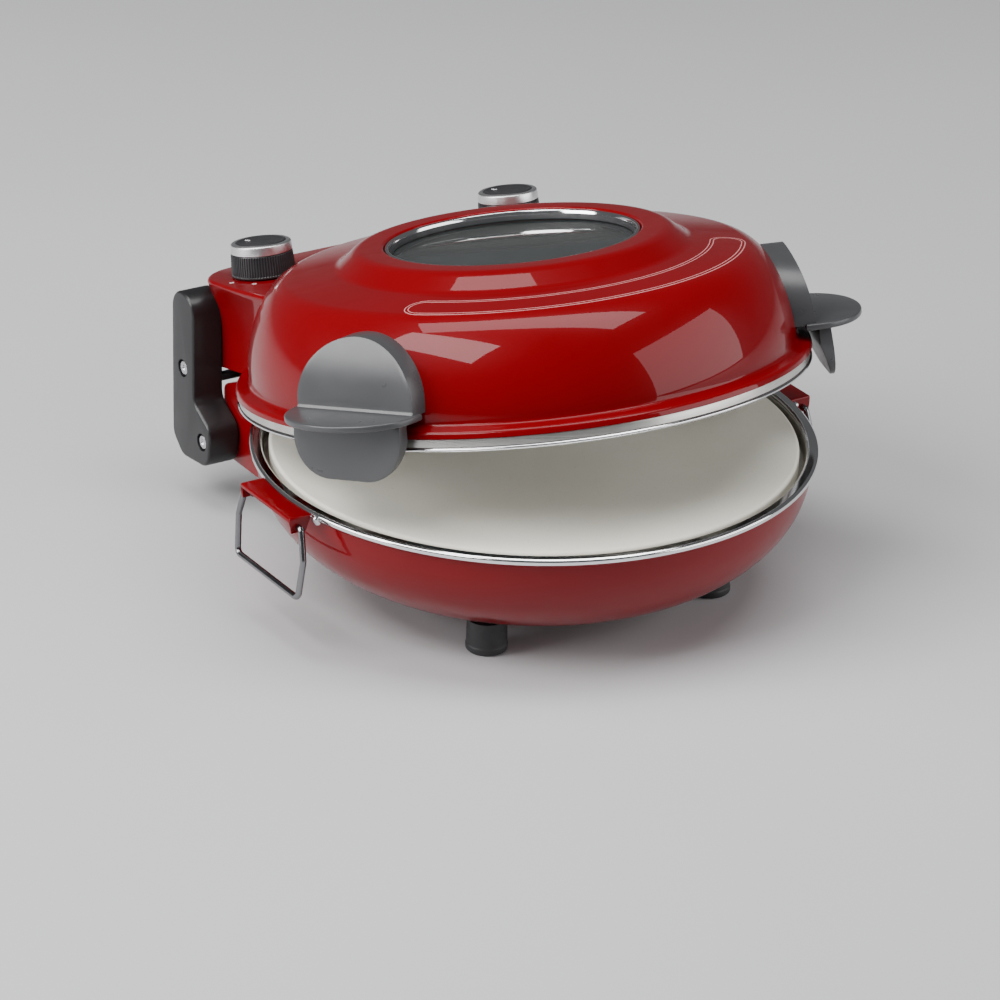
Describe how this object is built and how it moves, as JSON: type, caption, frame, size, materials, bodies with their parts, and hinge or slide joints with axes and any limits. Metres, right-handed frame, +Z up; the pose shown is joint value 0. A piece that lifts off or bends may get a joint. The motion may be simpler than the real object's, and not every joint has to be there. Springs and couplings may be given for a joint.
{
  "type": "countertop pizza oven",
  "caption": "Round countertop pizza oven: bowl base with a baking stone, hinged domed lid with a window, rear control housing with two knobs, side grips and wire bails.",
  "frame": {"origin": "on the worktop, under the middle of the whole oven with its lid part open as at rest", "axes": "+Z up, front of the oven towards -Y, +X to the right seen from the front"},
  "size_m": [0.3808, 0.378, 0.2241],
  "materials": {
    "red_paint": "deep red high-gloss enamel",
    "chrome": "bright chrome plate",
    "polished_steel": "polished aluminised steel",
    "plated_steel": "zinc plated",
    "screw_steel": "bright zinc",
    "element_sheath": "dark oxidised sheath",
    "stone": "fine matte cordierite, ivory",
    "window_glass": "tempered, faint grey-green",
    "seal": "matte black silicone",
    "foot_rubber": "satin black",
    "arm_plastic": "black phenolic, satin",
    "grip_plastic": "charcoal phenolic, satin",
    "knob_plastic": "black satin",
    "knob_band": "brushed silver",
    "rod_black": "black satin enamel",
    "terminal_ceramic": "unglazed white"
  },
  "bodies": {
    "base": {"base_pan": "red_paint", "base_reflector_tray": "polished_steel", "base_rim_ring": "chrome", "pizza_stone": "stone", "lower_heating_element": "element_sheath", "lower_element_rest_1": "plated_steel", "lower_element_rest_2": "plated_steel", "lower_element_rest_3": "plated_steel", "terminal_block": "terminal_ceramic", "base_rear_bracket": "red_paint", "cable_gland": "seal", "foot_front_left": "foot_rubber", "foot_front_right": "foot_rubber", "foot_rear_left": "foot_rubber", "foot_rear_right": "foot_rubber", "hinge_pin_left": "screw_steel", "hinge_pin_right": "screw_steel", "bail_bracket_left": "red_paint", "bail_bracket_right": "red_paint"},
    "lid": {"lid_shell": "red_paint", "lid_reflector": "polished_steel", "lid_rim_ring": "chrome", "window_bezel": "chrome", "window_glass": "window_glass", "window_gasket": "seal", "upper_heating_element": "element_sheath", "upper_element_hanger_1": "plated_steel", "upper_element_hanger_2": "plated_steel", "upper_element_hanger_3": "plated_steel", "rear_housing": "red_paint", "housing_bottom_cover": "plated_steel", "thermostat_body": "knob_plastic", "timer_body": "knob_plastic", "hinge_rod": "rod_black", "hinge_arm_left": "arm_plastic", "hinge_arm_right": "arm_plastic", "arm_screw_left": "screw_steel", "arm_screw_right": "screw_steel", "handle_left": "grip_plastic", "handle_right": "grip_plastic"},
    "thermostat_dial": {"thermostat_knob": "knob_plastic", "thermostat_knob_band": "knob_band", "thermostat_knob_cap": "knob_plastic", "thermostat_spindle": "plated_steel"},
    "timer_dial": {"timer_knob": "knob_plastic", "timer_knob_band": "knob_band", "timer_knob_cap": "knob_plastic", "timer_spindle": "plated_steel"},
    "bail_left": {"bail_wire_left": "chrome"},
    "bail_right": {"bail_wire_right": "chrome"}
  },
  "joints": [
    {"name": "lid_hinge", "type": "hinge", "parent": "base", "child": "lid", "pos_m": [0, 0.1517, 0.045], "axis": [-1, 0, 0], "range_deg": [-11.7, 78.3]},
    {"name": "thermostat_turn", "type": "hinge", "parent": "lid", "child": "thermostat_dial", "pos_m": [-0.0878, 0.15106, 0.14746], "axis": [0, -0.2028, -0.9792], "range_deg": [0, 270]},
    {"name": "timer_turn", "type": "hinge", "parent": "lid", "child": "timer_dial", "pos_m": [0.0878, 0.15106, 0.14746], "axis": [0, -0.2028, -0.9792], "range_deg": [0, 300]},
    {"name": "bail_left_swing", "type": "hinge", "parent": "base", "child": "bail_left", "pos_m": [-0.176, -0.017, 0.0795], "axis": [0, 1, 0], "range_deg": [-17, 85]},
    {"name": "bail_right_swing", "type": "hinge", "parent": "base", "child": "bail_right", "pos_m": [0.176, -0.017, 0.0795], "axis": [0, -1, 0], "range_deg": [-17, 85]}
  ]
}
